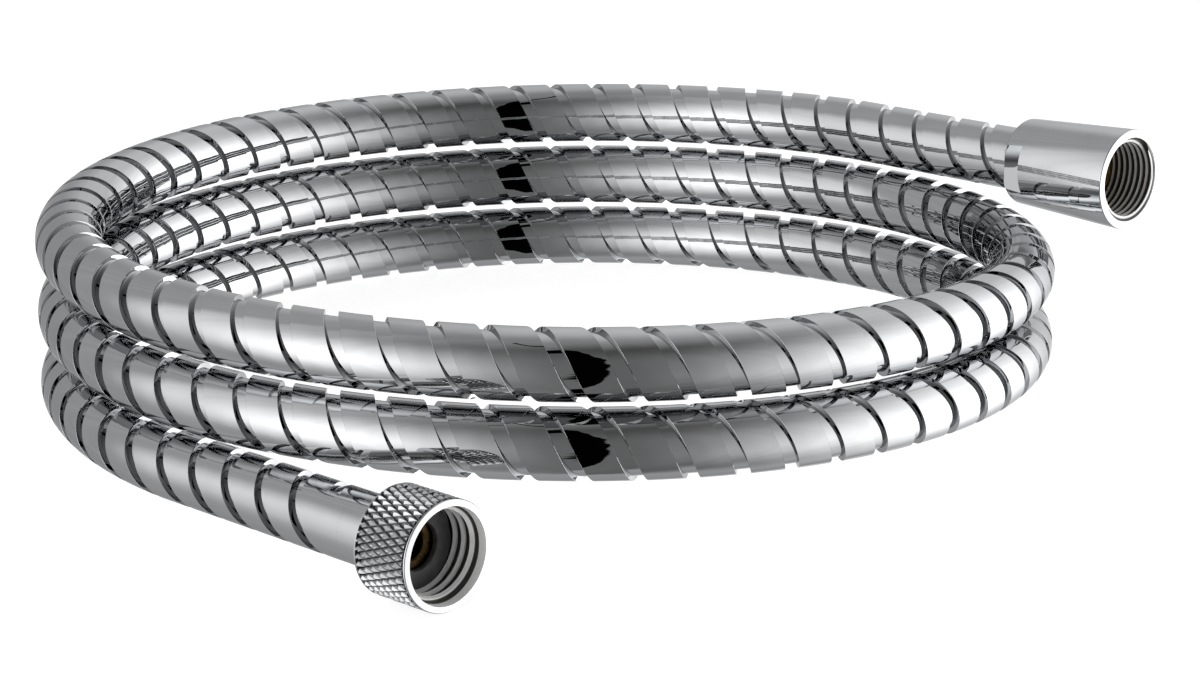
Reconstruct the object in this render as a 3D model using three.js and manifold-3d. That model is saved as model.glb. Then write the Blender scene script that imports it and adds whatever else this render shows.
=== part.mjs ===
// A flexible metal shower hose, laid in a flat coil of two and a half turns.
// Millimetres, +Z up. Both straight ends of the hose point along +X: the conical nut, for the
// hand shower, is on the top end at the back, and the knurled nut, for the mixer, is on the
// bottom end at the front. The origin is under the middle of the coiled hose.

import * as THREE from 'three';
import * as BufferGeometryUtils from 'three/addons/utils/BufferGeometryUtils.js';
import Module from 'manifold-3d';

const wasm = await Module();
wasm.setup();

// Clearance between pieces that meet
const SEAT_GAP = 0.3;

// The hose: an interlocked metal strip outside and a rubber tube inside
const HOSE_DIAMETER = 16;
const STRIP_WALL = 1.3;
const LINER_WALL = 1.9;

// The coil in which the hose lies
const COIL_RADIUS = 116;
const COIL_PITCH = 17.5;
const COIL_TURNS = 2.5;
const COIL_START_ANGLE = Math.PI / 2;

// The lean that brings the lowest turn and the knurled nut down on one surface
const REST_LEAN = THREE.MathUtils.degToRad( -2.93 );

// Thread of both nuts, G 1/2: the bore is cut to its root, and the crests come as far as the core
const THREAD_ROOT_DIAMETER = 20.96;
const THREAD_HEIGHT = 1.165;
const LEAD_IN_CLEARANCE = 0.07;
const LEAD_IN_DEPTH = 2;

// Conical nut, with its wall round the thread at the mouth and round the hose at the shoulder
const CONE_LENGTH = 31;
const CONE_MOUTH_WALL = 2.32;
const CONE_SHOULDER_WALL = 2.8;
const CONE_SHOULDER_ROUND = 1;
const CONE_RIM_CHAMFER = 0.35;
const CONE_THREAD_DEPTH = 11;
const WRENCH_FLATS_DEPTH = 1.6;
const WRENCH_FLATS_LENGTH = 4;

// Knurled nut, with its walls round the thread
const KNURLED_LENGTH = 15.7;
const KNURLED_WALL = 1.72;
const KNURLED_RIM_CHAMFER = 0.3;
const KNURLED_RIM_WIDTH = 0.8;
const KNURLED_NOSE_LENGTH = 1.2;
const KNURLED_NOSE_WALL = 0.62;
const KNURLED_THREAD_DEPTH = 11;
const KNURL_COUNT = 40;
const KNURL_ROWS = 10;
const KNURL_DEPTH = 0.5;

// Brass insert that each nut turns on
const FLANGE_CLEARANCE = 0.33;
const FLANGE_THICKNESS = 2;
const INSERT_BORE_DIAMETER = 6.5;
const STEM_LENGTH = 24;
const STEM_NECK_LENGTH = 3;
const BARB_COUNT = 4;
const BARB_DEPTH = 0.35;

// Smooth end sleeve that holds the strip on the insert
const SLEEVE_WALL = 0.9;
const SLEEVE_LIP = 1;
const CONE_SLEEVE_LENGTH = 16.3;
const KNURLED_SLEEVE_LENGTH = 12.6;

// Sealing washer in the knurled nut
const WASHER_THICKNESS = 1.6;
const WASHER_BORE_DIAMETER = 10.5;

// Straight ends of the hose, each from the coil to the back of its nut
const CONE_STRAIGHT = 58.1;
const KNURLED_STRAIGHT = 74.2;

// Fineness of the facets
const TUBE_SIDES = 12;
const COIL_STEPS = 56;
const TURNED_SEGMENTS = 48;
const SHOULDER_STEPS = 5;

// Sizes worked out from the ones above
const hoseRadius = HOSE_DIAMETER / 2;
const linerRadius = hoseRadius - STRIP_WALL - SEAT_GAP;
const linerBoreRadius = linerRadius - LINER_WALL;
const threadRootRadius = THREAD_ROOT_DIAMETER / 2;
const leadInRadius = threadRootRadius + LEAD_IN_CLEARANCE;
const flangeRadius = threadRootRadius - THREAD_HEIGHT - FLANGE_CLEARANCE / 2;
const backBoreRadius = hoseRadius + SEAT_GAP;
const coneMouthRadius = threadRootRadius + CONE_MOUTH_WALL;
const coneShoulderRadius = backBoreRadius + CONE_SHOULDER_WALL;
const knurlCrestRadius = threadRootRadius + KNURLED_WALL;
const knurledNoseRadius = threadRootRadius + KNURLED_NOSE_WALL;
const coilLength = COIL_TURNS * Math.hypot( 2 * Math.PI * COIL_RADIUS, COIL_PITCH );
const coilHeight = COIL_TURNS * COIL_PITCH;

// Stations of one end, as distances along +X from the coil
function endStations( straight, nutLength, threadDepth, sleeveLength ) {

	const mouth = straight + nutLength;
	const flangeFace = mouth - threadDepth;
	const flangeBack = flangeFace - FLANGE_THICKNESS;
	const sleeveEnd = flangeBack - SEAT_GAP;
	const sleeveStart = sleeveEnd - sleeveLength;
	const linerEnd = sleeveEnd - SLEEVE_LIP - SEAT_GAP;
	const stripEnd = sleeveStart - SEAT_GAP;
	return { nutBack: straight, mouth, flangeFace, flangeBack, sleeveEnd, sleeveStart, linerEnd, stripEnd };

}

const coneEnd = endStations( CONE_STRAIGHT, CONE_LENGTH, CONE_THREAD_DEPTH, CONE_SLEEVE_LENGTH );
const knurledEnd = endStations( KNURLED_STRAIGHT, KNURLED_LENGTH, KNURLED_THREAD_DEPTH, KNURLED_SLEEVE_LENGTH );

// Materials
const chromedStrip = new THREE.MeshStandardMaterial( { color: 0xc9cbce, metalness: 1, roughness: 0.12 } );
const chromedBrass = new THREE.MeshStandardMaterial( { color: 0xd6d7d9, metalness: 1, roughness: 0.06 } );
const bareBrass = new THREE.MeshStandardMaterial( { color: 0xc9a24b, metalness: 1, roughness: 0.3 } );
const blackRubber = new THREE.MeshStandardMaterial( { color: 0x1c1c1c, metalness: 0, roughness: 0.8 } );

// The centreline of the hose. The distance is 0 where the coil starts; before that the hose runs
// straight to the conical nut, and beyond the coil's own length straight to the knurled nut.
function centreline( distance, target ) {

	const along = THREE.MathUtils.clamp( distance, 0, coilLength );
	const share = along / coilLength;
	const angle = COIL_START_ANGLE + share * COIL_TURNS * 2 * Math.PI;
	const straight = Math.abs( distance - along );
	return target.set(
		COIL_RADIUS * Math.cos( angle ) + straight,
		COIL_RADIUS * Math.sin( angle ),
		coilHeight * ( 0.5 - share )
	);

}

// The route of one tube of the hose. All tubes share the same stations along the coil, so that
// their facets stay parallel, and only their first and last stations differ.
class TubeRoute extends THREE.Curve {

	constructor( lengthToCone, lengthToKnurled ) {

		super();
		const stations = [ - lengthToCone, - CONE_STRAIGHT / 2 ];
		for ( let step = 0; step <= COIL_STEPS; step ++ ) {

			stations.push( coilLength * step / COIL_STEPS );

		}

		stations.push( coilLength + KNURLED_STRAIGHT / 2, coilLength + lengthToKnurled );
		this.stations = stations;

	}

	get steps() {

		return this.stations.length - 1;

	}

	getUtoTmapping( u ) {

		return u;

	}

	getPoint( t, target = new THREE.Vector3() ) {

		const place = t * this.steps;
		const index = Math.min( Math.floor( place ), this.steps - 1 );
		const distance = THREE.MathUtils.lerp( this.stations[ index ], this.stations[ index + 1 ], place - index );
		return centreline( distance, target );

	}

}

// A regular outline with its corners at the given radius
function polygon( shape, cornerRadius ) {

	for ( let side = 0; side < TUBE_SIDES; side ++ ) {

		const angle = 2 * Math.PI * side / TUBE_SIDES;
		const x = cornerRadius * Math.cos( angle );
		const y = cornerRadius * Math.sin( angle );
		if ( side === 0 ) shape.moveTo( x, y );
		else shape.lineTo( x, y );

	}

	shape.closePath();
	return shape;

}

// The corner radius of an outline whose flat sides touch a circle
function aroundCircle( radius ) {

	return radius / Math.cos( Math.PI / TUBE_SIDES );

}

function hoseTube( outerCorner, innerCorner, route ) {

	const section = polygon( new THREE.Shape(), outerCorner );
	section.holes.push( polygon( new THREE.Path(), innerCorner ) );
	return new THREE.ExtrudeGeometry( section, { steps: route.steps, extrudePath: route } );

}

// A turned piece about the X axis, from a profile of [ x, radius ] points that runs forwards
// along the outside and back along the bore
function turnedPiece( profile ) {

	const points = profile.map( ( [ x, radius ] ) => new THREE.Vector2( radius, x ) );
	points.push( points[ 0 ].clone() );
	const geometry = new THREE.LatheGeometry( points, TURNED_SEGMENTS );
	return geometry.rotateZ( - Math.PI / 2 );

}

function toManifold( geometry ) {

	const bare = geometry.clone();
	bare.deleteAttribute( 'normal' );
	bare.deleteAttribute( 'uv' );
	const merged = BufferGeometryUtils.mergeVertices( bare, 1e-4 );
	return new wasm.Manifold( new wasm.Mesh( {
		numProp: 3,
		vertProperties: new Float32Array( merged.attributes.position.array ),
		triVerts: new Uint32Array( merged.index.array )
	} ) );

}

function fromManifold( solid ) {

	const mesh = solid.getMesh();
	const geometry = new THREE.BufferGeometry();
	geometry.setAttribute( 'position', new THREE.BufferAttribute( new Float32Array( mesh.vertProperties ), 3 ) );
	geometry.setIndex( new THREE.BufferAttribute( new Uint32Array( mesh.triVerts ), 1 ) );
	geometry.computeVertexNormals();
	return geometry;

}

// The bore of a nut, from its mouth back to the hole for the hose: a plain lead-in, the thread
// and the seat that the flange of the insert pulls against
function nutBore( end ) {

	const seat = end.flangeBack - SEAT_GAP;
	return [
		[ end.mouth, leadInRadius ],
		[ end.mouth - LEAD_IN_DEPTH, leadInRadius ],
		[ end.mouth - LEAD_IN_DEPTH, threadRootRadius ],
		[ seat, threadRootRadius ],
		[ seat, backBoreRadius ],
		[ end.nutBack, backBoreRadius ]
	];

}

function coneNut() {

	const end = coneEnd;
	const outline = [];
	for ( let step = 0; step <= SHOULDER_STEPS; step ++ ) {

		const angle = Math.PI / 2 * step / SHOULDER_STEPS;
		outline.push( [
			end.nutBack + CONE_SHOULDER_ROUND * ( 1 - Math.cos( angle ) ),
			coneShoulderRadius - CONE_SHOULDER_ROUND * ( 1 - Math.sin( angle ) )
		] );

	}

	outline.push( [ end.mouth - CONE_RIM_CHAMFER, coneMouthRadius ] );
	outline.push( [ end.mouth, coneMouthRadius - CONE_RIM_CHAMFER ] );
	let solid = toManifold( turnedPiece( [ ...outline, ...nutBore( end ) ] ) );

	// Two flats for a wrench, cut into the back of the nut on its sides
	const cutterSize = coneMouthRadius;
	const flatDistance = coneShoulderRadius - WRENCH_FLATS_DEPTH;
	for ( const side of [ - 1, 1 ] ) {

		const cutter = new THREE.BoxGeometry( 2 * WRENCH_FLATS_LENGTH, cutterSize, 2 * cutterSize );
		cutter.translate( end.nutBack, side * ( flatDistance + cutterSize / 2 ), 0 );
		solid = solid.subtract( toManifold( cutter ) );

	}

	return fromManifold( solid );

}

// A closed surface about the X axis, from rings of [ x, radius of even places, radius of odd
// places ]. Each quad is split along the line that joins its two lower corners, so rings of two
// radii make the crossed grooves and the pointed diamonds of a knurl.
function ringedSurface( rings, places ) {

	const positions = [];
	rings.forEach( ( [ x, evenRadius, oddRadius ], ring ) => {

		for ( let place = 0; place < places; place ++ ) {

			const angle = 2 * Math.PI * place / places;
			const radius = ( ring + place ) % 2 === 0 ? evenRadius : oddRadius;
			positions.push( x, radius * Math.cos( angle ), radius * Math.sin( angle ) );

		}

	} );
	const indices = [];
	for ( let ring = 0; ring < rings.length; ring ++ ) {

		const nextRing = ( ring + 1 ) % rings.length;
		for ( let place = 0; place < places; place ++ ) {

			const nextPlace = ( place + 1 ) % places;
			const a = ring * places + place;
			const b = ring * places + nextPlace;
			const c = nextRing * places + nextPlace;
			const d = nextRing * places + place;
			if ( ( ring + place ) % 2 === 0 ) indices.push( a, b, c, a, c, d );
			else indices.push( a, b, d, b, c, d );

		}

	}

	const geometry = new THREE.BufferGeometry();
	geometry.setAttribute( 'position', new THREE.Float32BufferAttribute( positions, 3 ) );
	geometry.setIndex( indices );
	geometry.computeVertexNormals();
	return geometry;

}

function knurledNut() {

	const end = knurledEnd;
	const crest = knurlCrestRadius;
	const groove = crest - KNURL_DEPTH;
	const chamfered = crest - KNURLED_RIM_CHAMFER;
	const noseStart = end.mouth - KNURLED_NOSE_LENGTH;
	const knurlStart = end.nutBack + KNURLED_RIM_WIDTH;
	const knurlEnd = noseStart - KNURLED_RIM_WIDTH;
	const plain = ( x, radius ) => [ x, radius, radius ];
	const rings = [
		plain( end.nutBack, chamfered ),
		plain( end.nutBack + KNURLED_RIM_CHAMFER, crest ),
		plain( knurlStart, crest )
	];
	for ( let row = 1; row < KNURL_ROWS; row ++ ) {

		const x = THREE.MathUtils.lerp( knurlStart, knurlEnd, row / KNURL_ROWS );
		rings.push( [ x, groove, crest ] );

	}

	rings.push( plain( knurlEnd, crest ) );
	rings.push( plain( noseStart, crest ) );
	rings.push( plain( noseStart, chamfered ) );
	rings.push( plain( end.mouth, knurledNoseRadius ) );
	rings.push( ...nutBore( end ).map( ( [ x, radius ] ) => plain( x, radius ) ) );
	return ringedSurface( rings, 2 * KNURL_COUNT );

}

// The insert: a flange inside the nut and a barbed stem in the rubber tube, with the waterway
// bored through both
function insert( end ) {

	const barbCrest = linerBoreRadius - SEAT_GAP;
	const barbRoot = barbCrest - BARB_DEPTH;
	const stemStart = end.flangeBack - STEM_LENGTH;
	const barbLength = ( STEM_LENGTH - STEM_NECK_LENGTH ) / BARB_COUNT;
	const profile = [];
	for ( let barb = 0; barb < BARB_COUNT; barb ++ ) {

		profile.push( [ stemStart + barb * barbLength, barbRoot ] );
		profile.push( [ stemStart + ( barb + 1 ) * barbLength, barbCrest ] );

	}

	profile.push( [ end.flangeBack - STEM_NECK_LENGTH, barbRoot ] );
	profile.push( [ end.flangeBack, barbRoot ] );
	profile.push( [ end.flangeBack, flangeRadius ] );
	profile.push( [ end.flangeFace, flangeRadius ] );
	profile.push( [ end.flangeFace, INSERT_BORE_DIAMETER / 2 ] );
	profile.push( [ stemStart, INSERT_BORE_DIAMETER / 2 ] );
	return turnedPiece( profile );

}

// The sleeve: a smooth tube as wide as the hose, turned in at the flange around the stem
function endSleeve( end ) {

	const lipRadius = linerBoreRadius + SEAT_GAP;
	const sleeveBoreRadius = hoseRadius - SLEEVE_WALL;
	return turnedPiece( [
		[ end.sleeveStart, hoseRadius ],
		[ end.sleeveEnd, hoseRadius ],
		[ end.sleeveEnd, lipRadius ],
		[ end.sleeveEnd - SLEEVE_LIP, lipRadius ],
		[ end.sleeveEnd - SLEEVE_LIP, sleeveBoreRadius ],
		[ end.sleeveStart, sleeveBoreRadius ]
	] );

}

function sealingWasher( end ) {

	const back = end.flangeFace + SEAT_GAP;
	const front = back + WASHER_THICKNESS;
	return turnedPiece( [
		[ back, flangeRadius ],
		[ front, flangeRadius ],
		[ front, WASHER_BORE_DIAMETER / 2 ],
		[ back, WASHER_BORE_DIAMETER / 2 ]
	] );

}

function piece( name, geometry, material ) {

	const mesh = new THREE.Mesh( geometry, material );
	mesh.name = name;
	return mesh;

}

// The coiled hose
const strip = hoseTube( hoseRadius, aroundCircle( hoseRadius - STRIP_WALL ),
	new TubeRoute( coneEnd.stripEnd, knurledEnd.stripEnd ) );
const liner = hoseTube( aroundCircle( linerRadius ), aroundCircle( linerBoreRadius ),
	new TubeRoute( coneEnd.linerEnd, knurledEnd.linerEnd ) );

const coil = new THREE.Group();
coil.add( piece( 'outer_hose', strip, chromedStrip ) );
coil.add( piece( 'inner_tube', liner, blackRubber ) );

// The upper end, with the conical nut
const upperEnd = new THREE.Group();
upperEnd.position.set( 0, COIL_RADIUS, coilHeight / 2 );
upperEnd.add( piece( 'conical_nut', coneNut(), chromedBrass ) );
upperEnd.add( piece( 'conical_end_insert', insert( coneEnd ), bareBrass ) );
upperEnd.add( piece( 'conical_end_sleeve', endSleeve( coneEnd ), chromedStrip ) );
coil.add( upperEnd );

// The lower end, with the knurled nut
const lowerEnd = new THREE.Group();
lowerEnd.position.set( 0, - COIL_RADIUS, - coilHeight / 2 );
lowerEnd.add( piece( 'knurled_nut', knurledNut(), chromedBrass ) );
lowerEnd.add( piece( 'knurled_end_insert', insert( knurledEnd ), bareBrass ) );
lowerEnd.add( piece( 'knurled_end_sleeve', endSleeve( knurledEnd ), chromedStrip ) );
lowerEnd.add( piece( 'sealing_washer', sealingWasher( knurledEnd ), blackRubber ) );
coil.add( lowerEnd );

// Lean the coil as it rests and put the origin under its middle
coil.rotation.x = REST_LEAN;
const hose = new THREE.Group();
hose.add( coil );
hose.updateMatrixWorld( true );
const box = new THREE.Box3().setFromObject( hose, true );
const centre = box.getCenter( new THREE.Vector3() );
coil.position.set( - centre.x, - centre.y, - box.min.z );
hose.updateMatrixWorld( true );

export default hose;
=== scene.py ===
# %% [markdown]
# # A chromed shower hose, coiled for the shelf
#
# The real object is a rubber tube inside a wound strip of chromed metal, with a swivel nut at each
# end. Nearly everything on it is mirror bright, so two things make the picture: the exact form of
# each edge, and what the metal has to reflect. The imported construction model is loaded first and
# stays fixed; each piece below is made to sit exactly where that model has it.

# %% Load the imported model
import math

import bmesh
import bpy
import numpy as np
from mathutils import Matrix, Vector


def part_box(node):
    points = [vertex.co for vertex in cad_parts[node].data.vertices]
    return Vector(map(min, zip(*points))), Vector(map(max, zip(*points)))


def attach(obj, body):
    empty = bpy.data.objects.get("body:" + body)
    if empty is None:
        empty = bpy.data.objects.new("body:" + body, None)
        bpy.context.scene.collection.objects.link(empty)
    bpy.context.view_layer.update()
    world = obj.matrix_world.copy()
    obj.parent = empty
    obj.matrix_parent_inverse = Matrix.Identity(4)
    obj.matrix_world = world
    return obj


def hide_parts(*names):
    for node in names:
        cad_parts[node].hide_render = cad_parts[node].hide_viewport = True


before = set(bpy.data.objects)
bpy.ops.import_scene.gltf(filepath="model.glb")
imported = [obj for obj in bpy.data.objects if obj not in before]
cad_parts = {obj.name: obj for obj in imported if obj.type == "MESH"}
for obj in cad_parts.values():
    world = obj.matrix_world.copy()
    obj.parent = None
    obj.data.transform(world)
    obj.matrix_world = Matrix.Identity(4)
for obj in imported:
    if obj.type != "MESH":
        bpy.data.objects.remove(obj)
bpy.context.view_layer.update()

# %% [markdown]
# ## Where the coil lies
#
# Both nuts are round, so the middle of each nut's box is a point of its axis. The two axes give the
# lean and the place of the whole coil, and every route below is worked out in the coil's own frame
# and then set down with one matrix. That way no place is typed in twice.

# %% Sizes of the hose and the place of the coil
MM = 0.001
HOSE_RADIUS = 8 * MM
COIL_RADIUS = 116 * MM
COIL_PITCH = 17.5 * MM
COIL_TURNS = 2.5
COIL_START = math.pi / 2
CONE_STRAIGHT = 58.1 * MM
KNURLED_STRAIGHT = 74.2 * MM
CONE_LENGTH = 31 * MM
KNURLED_LENGTH = 15.7 * MM
SEAT_GAP = 0.3 * MM

COIL_HEIGHT = COIL_TURNS * COIL_PITCH
COIL_LENGTH = COIL_TURNS * math.hypot(2 * math.pi * COIL_RADIUS, COIL_PITCH)


def axis_of(node):
    """The y and z of a round node's axis, which runs along X."""
    low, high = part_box(node)
    middle = (low + high) / 2
    return Vector((0, middle.y, middle.z))


upper_axis, lower_axis = axis_of("conical_nut"), axis_of("knurled_nut")
across = upper_axis - lower_axis
LEAN = math.atan2(across.z, across.y) - math.atan2(COIL_HEIGHT, 2 * COIL_RADIUS)
coil_middle = (upper_axis + lower_axis) / 2
coil_middle.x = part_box("conical_nut")[1].x - CONE_STRAIGHT - CONE_LENGTH
PLACE = Matrix.Translation(coil_middle) @ Matrix.Rotation(LEAN, 4, "X")
print(f"coil of {COIL_LENGTH:.3f} m about {tuple(round(v, 4) for v in coil_middle)}")
print(f"it leans by {math.degrees(LEAN):.2f} degrees")

# %% [markdown]
# ## The camera
#
# The photograph was taken from a little above, with a long lens, so the turns of the coil are
# flat ellipses that hardly grow towards the lens. A camera is placed here the way a photographer
# would: an aim point, a direction, a distance and a focal length.

# %% Camera
AIM = Vector((9.35, 8.2, 13.42)) * MM
CAMERA_DISTANCE = 807.3 * MM
CAMERA_AZIMUTH = math.radians(45.4)
CAMERA_ELEVATION = math.radians(17.05)
CAMERA_ROLL = math.radians(-2.095)
FOCAL_LENGTH_MM = 97.7

back = Vector((
    math.sin(CAMERA_AZIMUTH) * math.cos(CAMERA_ELEVATION),
    -math.cos(CAMERA_AZIMUTH) * math.cos(CAMERA_ELEVATION),
    math.sin(CAMERA_ELEVATION),
))
level = Vector((math.cos(CAMERA_AZIMUTH), math.sin(CAMERA_AZIMUTH), 0))
right = Matrix.Rotation(CAMERA_ROLL, 3, back) @ level
up = back.cross(right)
camera = bpy.data.objects.new("camera", bpy.data.cameras.new("camera"))
bpy.context.scene.collection.objects.link(camera)
turned = Matrix((right, up, back)).transposed().to_4x4()
camera.matrix_world = Matrix.Translation(AIM + CAMERA_DISTANCE * back) @ turned
camera.data.lens = FOCAL_LENGTH_MM
camera.data.clip_start = 0.01
camera.data.clip_end = 50
bpy.context.scene.camera = camera
print("camera at", tuple(round(v, 3) for v in camera.matrix_world.translation))

# %% [markdown]
# ## The route of the hose
#
# The hose leaves the conical nut in a straight line, winds down through two and a half turns and
# runs straight into the knurled nut. One function gives the centreline and a pair of directions
# square to it for any distance along the hose, so that the strip and the tube follow the very same
# line. Distances start where the coil does, so the straight end at the conical nut has negative
# ones.

# %% Route


def centreline(distance):
    """Points of the hose's centreline in the coil's frame, for an array of distances."""
    along = np.clip(distance, 0, COIL_LENGTH)
    share = along / COIL_LENGTH
    angle = COIL_START + share * COIL_TURNS * 2 * math.pi
    straight = np.abs(distance - along)
    return np.stack([
        COIL_RADIUS * np.cos(angle) + straight,
        COIL_RADIUS * np.sin(angle),
        COIL_HEIGHT * (0.5 - share),
    ], axis=-1)


def set_down(points):
    """Points of the coil's frame, set down where the CAD model has them."""
    place = np.array(PLACE)
    return points @ place[:3, :3].T + place[:3, 3]


def round_the_hose(distance, angle, radius):
    """Points at a radius round the centreline. The angle turns right-handed about the way ahead."""
    step = 0.05 * MM
    ahead = centreline(distance + step) - centreline(distance - step)
    ahead /= np.linalg.norm(ahead, axis=-1, keepdims=True)
    side = np.cross(ahead, [0, 0, 1])
    side /= np.linalg.norm(side, axis=-1, keepdims=True)
    over = np.cross(ahead, side)
    outward = np.cos(angle)[..., None] * side + np.sin(angle)[..., None] * over
    return set_down(centreline(distance) + radius[..., None] * outward)


STRIP_START = -59.2 * MM
STRIP_END = COIL_LENGTH + 63.98 * MM
CENTRE_STEP = 2 * MM
stations = np.linspace(STRIP_START, STRIP_END, int((STRIP_END - STRIP_START) / CENTRE_STEP))
route = set_down(centreline(stations))

# %% [markdown]
# ## Mesh helpers
#
# A turned or wound piece is a regular grid of points, so numpy works all of them out at once and
# the mesh takes them as they are. Welding then joins the borders of grids that meet. Faces are
# shaded smooth, and only edges that really are corners stay sharp, because chrome shows every
# fault of shading as a kink in a reflection.

# %% Mesh helpers
SHARP_ANGLE = math.radians(28)
WELD_DISTANCE = 0.0005 * MM


def grid_faces(count_along, count_round, inward=False):
    """Faces of a tube of rings, closed round and open at both ends."""
    row = np.arange(count_along - 1)[:, None] * count_round
    here = np.arange(count_round)[None, :]
    there = (here + 1) % count_round
    corners = [row + here, row + there, row + count_round + there, row + count_round + here]
    faces = np.stack(corners, axis=-1).reshape(-1, 4)
    return faces[:, ::-1] if inward else faces


def make_piece(name, parts):
    """One object from several (points, faces) grids, welded where their borders meet."""
    mesh = bpy.data.meshes.new(name)
    points, faces, count = [], [], 0
    for part_points, part_faces in parts:
        flat = part_points.reshape(-1, 3)
        points.append(flat)
        faces += (part_faces + count).tolist()
        count += len(flat)
    mesh.from_pydata(np.concatenate(points).tolist(), [], faces)
    work = bmesh.new()
    work.from_mesh(mesh)
    bmesh.ops.remove_doubles(work, verts=work.verts, dist=WELD_DISTANCE)
    bmesh.ops.dissolve_degenerate(work, edges=work.edges, dist=WELD_DISTANCE)
    open_edges = sum(not edge.is_manifold for edge in work.edges)
    triangles = sum(len(face.verts) - 2 for face in work.faces)
    work.to_mesh(mesh)
    work.free()
    mesh.shade_smooth()
    mesh.set_sharp_from_angle(angle=SHARP_ANGLE)
    piece = bpy.data.objects.new(name, mesh)
    bpy.context.scene.collection.objects.link(piece)
    print(f"{name}: {triangles} triangles, {open_edges} open edges")
    return piece


# %% [markdown]
# ## Winding a profile
#
# The metal strip and the threads in the nuts are the same kind of form: a small profile that
# advances by one lead in each turn. The winding is laid out as a grid whose rows follow the helix
# and whose columns follow the profile, so steep walls stay straight and crisp. At its ends the
# profile fades to the plain radius and the last points are held at the border, which leaves a
# clean round edge to weld to the next surface.

# %% Winding


def smooth_step(value, low, high):
    """0 below low, 1 above high and a soft curve between them."""
    t = np.clip((value - low) / (high - low), 0, 1)
    return t * t * (3 - 2 * t)


RAMP = 0.6 * MM


def winding(
    place, start, end, lead, offset, profile, plain, sides, plain_ends,
    ramps=(RAMP, RAMP), inward=False,
):
    """A (points, faces) grid of a profile of [along, radius] points wound between two stations."""
    along, radius = np.array(profile, float).T
    first = math.floor((start - offset) / lead * sides) - sides
    last = math.ceil((end - offset) / lead * sides) + 1 + sides
    turn = np.arange(first, last + 1)
    station = offset + lead * turn[:, None] / sides + along[None, :]
    rise, fall = start + plain_ends[0], end - plain_ends[1]
    height = smooth_step(station, rise, rise + ramps[0])
    height = height * (1 - smooth_step(station, fall - ramps[1], fall))
    radii = plain + (radius[None, :] - plain) * height
    angle = np.broadcast_to(2 * math.pi * turn[:, None] / sides, station.shape)
    held = np.clip(station, start, end)
    points = place(held, angle, radii)

    columns = len(along)
    row, column = np.meshgrid(np.arange(len(turn) - 1), np.arange(columns), indexing="ij")
    next_row = row + np.where(column == columns - 1, sides, 0)
    next_column = (column + 1) % columns
    keep = next_row + 1 < len(turn)
    row, column, next_row, next_column = (a[keep] for a in (row, column, next_row, next_column))
    corners = [
        row * columns + column,
        (row + 1) * columns + column,
        (next_row + 1) * columns + next_column,
        next_row * columns + next_column,
    ]
    faces = np.stack(corners, axis=-1)
    ends = held.reshape(-1)[faces]
    real = (ends.max(axis=1) > start) & (ends.min(axis=1) < end)
    faces = faces[real]
    return points, faces[:, ::-1] if inward else faces


print(f"a profile rises from the plain radius over {1000 * RAMP:.1f} mm")

# %% [markdown]
# ## The wound strip
#
# What looks like a corrugated pipe is two bright strips wound side by side, each with a lead of
# about 23 mm. Their broad lands stand about a millimetre proud of the narrow channels between
# them, with steep walls, and it is those walls that draw the dark curved lines in the photograph.
# A bump map could not show them at the outline, so the step is real geometry, with a narrow bevel
# on each corner to catch the light.

# %% Strip
STRIP_SPACING = 11.392 * MM
STRIP_STARTS = 2
CHANNEL_WIDTH = 3.3 * MM
CHANNEL_RADIUS = 6.9 * MM
CHANNEL_MIDDLE = 0.465
BEVEL = 0.04 * MM
WALL_LEAN = 0.05 * MM
LAND_STEPS = 4
STRIP_SIDES = 48
STRIP_BORE_RADIUS = 6.55 * MM
BORE_STEP = 8 * MM
PLAIN_END = 7.6 * MM


def strip_profile():
    """One channel and one land, and the same again for the second strip."""
    land_start = CHANNEL_WIDTH + WALL_LEAN + BEVEL
    land_end = STRIP_SPACING - WALL_LEAN - BEVEL
    once = [(0, CHANNEL_RADIUS), (CHANNEL_WIDTH, CHANNEL_RADIUS)]
    once.append((CHANNEL_WIDTH + WALL_LEAN, HOSE_RADIUS - BEVEL))
    once += [(x, HOSE_RADIUS) for x in np.linspace(land_start, land_end, LAND_STEPS)]
    once.append((STRIP_SPACING - WALL_LEAN, HOSE_RADIUS - BEVEL))
    return [(x + copy * STRIP_SPACING, r) for copy in range(STRIP_STARTS) for x, r in once]


def plain_tube(start, end, step, radius, sides, inward):
    """A (points, faces) grid of a plain tube along the hose."""
    station = np.linspace(start, end, max(2, math.ceil((end - start) / step)))
    angle = 2 * math.pi * np.arange(sides) / sides
    grid = np.broadcast_to(station[:, None], (len(station), sides))
    turn = np.broadcast_to(angle[None, :], grid.shape)
    points = round_the_hose(grid, turn, np.full(grid.shape, radius))
    return points, grid_faces(len(station), sides, inward)


def end_ring(station, outer, inner, sides, forward):
    """A (points, faces) flat ring that closes a tube at one station."""
    angle = np.broadcast_to(2 * math.pi * np.arange(sides) / sides, (2, sides))
    radius = np.repeat(np.array([[outer], [inner]]), sides, axis=1)
    points = round_the_hose(np.full((2, sides), station), angle, radius)
    return points, grid_faces(2, sides, inward=not forward)


channel_start = (CHANNEL_MIDDLE * STRIP_SPACING) - CHANNEL_WIDTH / 2
outside = winding(
    round_the_hose, STRIP_START, STRIP_END, STRIP_STARTS * STRIP_SPACING, channel_start,
    strip_profile(), HOSE_RADIUS, STRIP_SIDES, (0, PLAIN_END),
)
strip = make_piece("wound_strip", [
    outside,
    plain_tube(STRIP_START, STRIP_END, BORE_STEP, STRIP_BORE_RADIUS, STRIP_SIDES, inward=True),
    end_ring(STRIP_START, HOSE_RADIUS, STRIP_BORE_RADIUS, STRIP_SIDES, forward=False),
    end_ring(STRIP_END, HOSE_RADIUS, STRIP_BORE_RADIUS, STRIP_SIDES, forward=True),
])

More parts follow.
